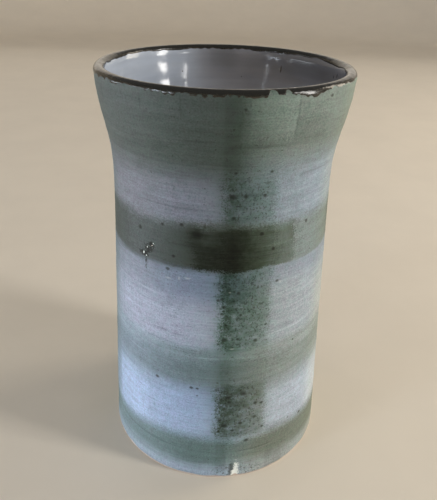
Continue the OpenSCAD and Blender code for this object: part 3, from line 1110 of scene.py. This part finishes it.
class VaseColours(PropertyGroup):
    """Colours of the clay, the glazes and the brushed oxides."""

    skirt_blue: colour("Skirt, blue side", (0.345, 0.415, 0.49), "Glaze below the foot band")
    skirt_grey: colour("Skirt, grey side", (0.30, 0.34, 0.34), "Glaze below the foot band")
    foot_blue: colour("Foot band, blue side", (0.20, 0.272, 0.288), "Brushed band at the foot")
    foot_grey: colour("Foot band, grey side", (0.16, 0.19, 0.16), "Brushed band at the foot")
    low_blue: colour("Low wall, blue side", (0.385, 0.48, 0.65), "Pale glaze above the foot band")
    low_grey: colour("Low wall, grey side", (0.375, 0.44, 0.52), "Pale glaze above the foot band")
    lower_blue: colour("Lower band, blue side", (0.232, 0.29, 0.34), "Brushed band under the middle")
    lower_grey: colour("Lower band, grey side", (0.22, 0.265, 0.26), "Brushed band under the middle")
    upper_blue: colour("Lower band's top, blue side", (0.30, 0.365, 0.43), "Thin top of the lower band")
    upper_grey: colour("Lower band's top, grey side", (0.27, 0.32, 0.325), "Thin top of the lower band")
    mid_blue: colour("Middle wall, blue side", (0.38, 0.416, 0.51), "Pale glaze under the middle band")
    mid_grey: colour("Middle wall, grey side", (0.315, 0.37, 0.415), "Pale glaze under the middle band")
    dim_blue: colour("Dim wall, blue side", (0.25, 0.28, 0.33), "Pale glaze just under the middle band")
    dim_grey: colour("Dim wall, grey side", (0.25, 0.30, 0.36), "Pale glaze just under the middle band")
    middle_blue: colour("Middle band, blue side", (0.092, 0.106, 0.103), "Brushed band above the middle")
    middle_grey: colour("Middle band, grey side", (0.175, 0.22, 0.22), "Brushed band above the middle")
    high_blue: colour("High wall, blue side", (0.205, 0.215, 0.245), "Pale glaze under the shoulder")
    high_grey: colour("High wall, grey side", (0.24, 0.30, 0.36), "Pale glaze under the shoulder")
    # The shoulder and neck colours are the brushed oxide, darkened partly by painted shade where the
    # flare faces down
    shoulder_blue: colour("Shoulder, blue side", (0.098, 0.114, 0.107), "Brushed shoulder")
    shoulder_grey: colour("Shoulder, grey side", (0.165, 0.205, 0.19), "Brushed shoulder")
    neck_blue: colour("Neck, blue side", (0.10, 0.115, 0.11), "Brushed glaze under the lip")
    neck_grey: colour("Neck, grey side", (0.175, 0.222, 0.205), "Brushed glaze under the lip")
    # Tint of the painted light on the right side, warmer in tone
    painted_warm_light: colour("Warm side", (1.24, 1.13, 0.96), "How the glaze turns on its warm side", most=2.0)
    rose_cloud: colour("Rose clouds", (0.95, 0.90, 0.93), "What the faint rose clouds let through")
    green_cloud: colour("Green clouds", (0.90, 0.95, 0.93), "What the faint green clouds let through")
    shade: colour("Shade", (0.79, 0.85, 0.94), "What the pale glaze keeps beside a stripe")
    wash: colour("Wash", (0.35, 0.43, 0.39), "What one coat of brushed oxide lets through")
    stripe: colour("Stripe", (0.145, 0.225, 0.14), "What the oxide of the stripes lets through")
    stripe_low: colour("Low stripe", (0.19, 0.215, 0.132), "What the oxide lets through low down")
    stroke: colour("Stroke", (0.27, 0.295, 0.205), "What the dark strokes let through")
    # Also the colour of the painted shadow beside the foot chip
    iron: colour("Iron", (0.30, 0.29, 0.26), "What an iron speck lets through")
    # Also the colour of the painted highlights in the scrape
    bare: colour("Bare chip", (0.80, 0.84, 0.80), "Bare body in the chip at the foot and the scrape")
    lip: colour("Lip", (0.010, 0.0095, 0.007), "Dark glaze on the lip")
    lip_thin: colour("Thin lip", (0.035, 0.028, 0.020), "The same glaze where it is thin")
    liner: colour("Liner", (0.41, 0.465, 0.56), "Glossy glaze inside")
    # A greyer tone that LINER_TONE lays round one side of the inside by angle
    liner_grey: colour("Deep liner", (0.37, 0.38, 0.43), "The same glaze where it pools")
    liner_speck: colour("Liner specks", (0.015, 0.012, 0.010), "Iron specks in the glaze inside")
    clay: colour("Clay", (0.60, 0.53, 0.49), "Bare stoneware")
    clay_warm: colour("Warm clay", (0.54, 0.43, 0.36), "Bare stoneware, flashed by the kiln")
    grit: colour("Grit", (0.16, 0.09, 0.05), "Iron grit in the bare stoneware")
    floor: colour("Floor", (0.78, 0.71, 0.61), "The floor and the cove round it")


class VaseStage(PropertyGroup):
    """The floor, lights and camera."""

    camera_back: FloatProperty(name="Camera back", description="Camera's distance in front of the axis",
                               default=0.299, unit="LENGTH")
    camera_up: FloatProperty(name="Camera height", description="Camera's height above the table",
                             default=0.2796, unit="LENGTH")
    tilt: FloatProperty(name="Tilt", description="How far the camera looks down",
                        default=math.radians(28.1), subtype="ANGLE")
    roll: FloatProperty(name="Roll", description="How far the camera leans",
                        default=math.radians(1.69), subtype="ANGLE")
    swing: FloatProperty(name="Swing", description="How far the camera looks to the side",
                         default=math.radians(-0.13), subtype="ANGLE")
    lens: FloatProperty(name="Lens", description="Focal length in mm", default=40.03)
    cove: FloatProperty(name="Cove", description="Radius of the level floor", default=1.9, unit="LENGTH")


# ---------------------------------------------------------------- the stage

def make_floor(stage, colours):
    """A round pale floor that sweeps up into a low wall all round."""
    steps, sides, curve, wall_top = 14, 96, 0.6, 1.6
    profile = [(0.0, 0.0), (0.3, 0.0), (0.8, 0.0), (stage.cove, 0.0)]
    for i in range(1, steps + 1):
        bend = math.radians(90) * i / steps
        profile.append((stage.cove + curve * math.sin(bend), curve - curve * math.cos(bend)))
    profile.append((stage.cove + curve, wall_top))
    spots, faces = [(0.0, 0.0, 0.0)], []
    for radius, up in profile[1:]:
        for j in range(sides):
            turn = FULL_TURN * j / sides
            spots.append((radius * math.sin(turn), -radius * math.cos(turn), up))
    for j in range(sides):
        k = (j + 1) % sides
        faces.append((0, 1 + j, 1 + k))
        for i in range(len(profile) - 2):
            low, high = 1 + i * sides, 1 + (i + 1) * sides
            faces.append((low + j, high + j, high + k, low + k))
    mesh = bpy.data.meshes.new("Floor")
    mesh.from_pydata(spots, [], faces)
    mesh.polygons.foreach_set("use_smooth", [True] * len(mesh.polygons))
    mesh.materials.append(floor_finish(colours))
    floor = bpy.data.objects.new("Floor", mesh)
    bpy.context.scene.collection.objects.link(floor)


def floor_finish(c):
    """Plain pale paper, very slightly clouded."""
    f = Finish("Pale floor")
    cloud = f.noise(90, 90, 4, 0.6)
    worn = [0.96 * share for share in c.floor]
    f.set(Base_Color=f.mix(cloud.ramp(0.3, 0.7), c.floor, worn), Roughness=0.8)
    return f.material


# Soft boxes: name, angle, distance, bottom and top height in m, width in m, power in W, colour
SOFT_BOXES = (
    ("Right window", 72, 1.5, 0.05, 1.25, 0.26, 17.6, (1.0, 0.97, 0.92)),
    ("Right wall", 112, 1.5, 0.05, 1.25, 0.50, 10.5, (1.0, 0.90, 0.74)),
    ("Left window", -54, 1.5, 0.03, 0.32, 0.30, 10.6, (0.76, 0.87, 1.0)),
    ("Left wall", -88, 1.5, 0.03, 0.35, 0.90, 6.3, (0.82, 0.91, 1.0)),
    ("Left gap", -47, 1.5, 0.36, 0.62, 0.03, 0.20, (0.85, 0.92, 1.0)),
    ("Thin light", 46, 1.5, 0.42, 0.64, 0.035, 0.6, (1.0, 0.98, 0.95)),
    ("Pale wall", 180, 1.6, 0.30, 1.30, 2.40, 4.0, (1.0, 0.95, 0.87)),
)


def make_lights():
    """Tall soft boxes at the sides, a wide one behind, and an even sky."""
    for name, angle, away, low, high, width, power, tint in SOFT_BOXES:
        data = bpy.data.lights.new(name, "AREA")
        data.shape = "RECTANGLE"
        data.size, data.size_y = width, high - low
        data.energy, data.color = power, tint
        lamp = bpy.data.objects.new(name, data)
        lamp.visible_camera = False
        turn = math.radians(angle)
        spot = Vector((away * math.sin(turn), -away * math.cos(turn), (low + high) / 2))
        back = Vector((spot.x, spot.y, 0)).normalized()
        side = Vector((0, 0, 1)).cross(back)
        lamp.matrix_world = Matrix((side, Vector((0, 0, 1)), back)).transposed().to_4x4()
        lamp.location = spot
        bpy.context.scene.collection.objects.link(lamp)
    world = bpy.data.worlds.new("Even sky")
    world.use_nodes = True
    sky = world.node_tree.nodes["Background"]
    sky.inputs[0].default_value = (1.0, 0.97, 0.93, 1)
    sky.inputs[1].default_value = 0.29
    bpy.context.scene.world = world


def make_camera(stage):
    """The camera in front, looking a little down on the vase."""
    data = bpy.data.cameras.new("Camera")
    data.lens, data.sensor_width = stage.lens, 36
    data.clip_start, data.clip_end = 0.01, 50
    camera = bpy.data.objects.new("Camera", data)
    level = math.cos(stage.tilt)
    look = Vector((math.sin(stage.swing) * level, math.cos(stage.swing) * level, -math.sin(stage.tilt)))
    right = look.cross(Vector((0, 0, 1))).normalized()
    up = right.cross(look)
    lean_right = right * math.cos(stage.roll) + up * math.sin(stage.roll)
    lean_up = up * math.cos(stage.roll) - right * math.sin(stage.roll)
    camera.matrix_world = Matrix((lean_right, lean_up, -look)).transposed().to_4x4()
    camera.location = (0, -stage.camera_back, stage.camera_up)
    bpy.context.scene.collection.objects.link(camera)
    bpy.context.scene.camera = camera


# ---------------------------------------------------------------- operators

class VASE_OT_body(Operator):
    """Make the clay body with its turned foot"""

    bl_idname = "vase.body"
    bl_label = "Clay body"

    def execute(self, context):
        scene = context.scene
        piece = make_body(scene.vase_shape)
        place_piece(piece, clay_finish(scene.vase_colours), "stoneware_clay", "clay_body")
        return {"FINISHED"}


class VASE_OT_coat(Operator):
    """Make the matt outer glaze with its brushed bands and stripes"""

    bl_idname = "vase.coat"
    bl_label = "Outer coat"

    def execute(self, context):
        scene = context.scene
        piece = make_coat(scene.vase_shape)
        place_piece(piece, matt_finish(scene.vase_colours), "matt_blue", "matt_coat", "shoulder_band",
                    "middle_band", "lower_band", "foot_band", "upright_stripes", "overlap_strokes")
        return {"FINISHED"}


class VASE_OT_lip(Operator):
    """Make the dark glossy glaze over the lip"""

    bl_idname = "vase.lip"
    bl_label = "Lip glaze"

    def execute(self, context):
        scene = context.scene
        piece = make_lip(scene.vase_shape)
        place_piece(piece, lip_finish(scene.vase_colours), "dark_rim", "rim_glaze")
        return {"FINISHED"}


class VASE_OT_liner(Operator):
    """Make the glossy glaze inside"""

    bl_idname = "vase.liner"
    bl_label = "Liner"

    def execute(self, context):
        scene = context.scene
        piece = make_liner(scene.vase_shape)
        place_piece(piece, liner_finish(scene.vase_colours), "liner_gloss", "liner_glaze")
        return {"FINISHED"}


class VASE_OT_stage(Operator):
    """Set up the floor, the lights and the camera"""

    bl_idname = "vase.stage"
    bl_label = "Stage"

    def execute(self, context):
        scene = context.scene
        scene.view_settings.view_transform = "Standard"
        make_floor(scene.vase_stage, scene.vase_colours)
        make_lights()
        make_camera(scene.vase_stage)
        return {"FINISHED"}


OPERATORS = (VASE_OT_body, VASE_OT_coat, VASE_OT_lip, VASE_OT_liner, VASE_OT_stage)


class VASE_PT_sidebar(Panel):
    """Sizes, colours and buttons for the vase"""

    bl_idname = "VASE_PT_sidebar"
    bl_label = "Stoneware vase"
    bl_space_type = "VIEW_3D"
    bl_region_type = "UI"
    bl_category = "Vase"

    def draw(self, context):
        scene = context.scene
        for group in (scene.vase_shape, scene.vase_colours, scene.vase_stage):
            box = self.layout.box()
            for name in group.bl_rna.properties.keys():
                if name not in ("rna_type", "name"):
                    box.prop(group, name)
        for operator in OPERATORS:
            self.layout.operator(operator.bl_idname)


CLASSES = (VaseShape, VaseColours, VaseStage, *OPERATORS, VASE_PT_sidebar)


def register():
    for one in CLASSES:
        bpy.utils.register_class(one)
    bpy.types.Scene.vase_shape = PointerProperty(type=VaseShape)
    bpy.types.Scene.vase_colours = PointerProperty(type=VaseColours)
    bpy.types.Scene.vase_stage = PointerProperty(type=VaseStage)


def unregister():
    del bpy.types.Scene.vase_stage
    del bpy.types.Scene.vase_colours
    del bpy.types.Scene.vase_shape
    for one in reversed(CLASSES):
        bpy.utils.unregister_class(one)


def main():
    """Makes every piece and the stage."""
    register()
    bpy.ops.vase.body()
    bpy.ops.vase.coat()
    bpy.ops.vase.lip()
    bpy.ops.vase.liner()
    bpy.ops.vase.stage()


if __name__ == "__main__":
    main()
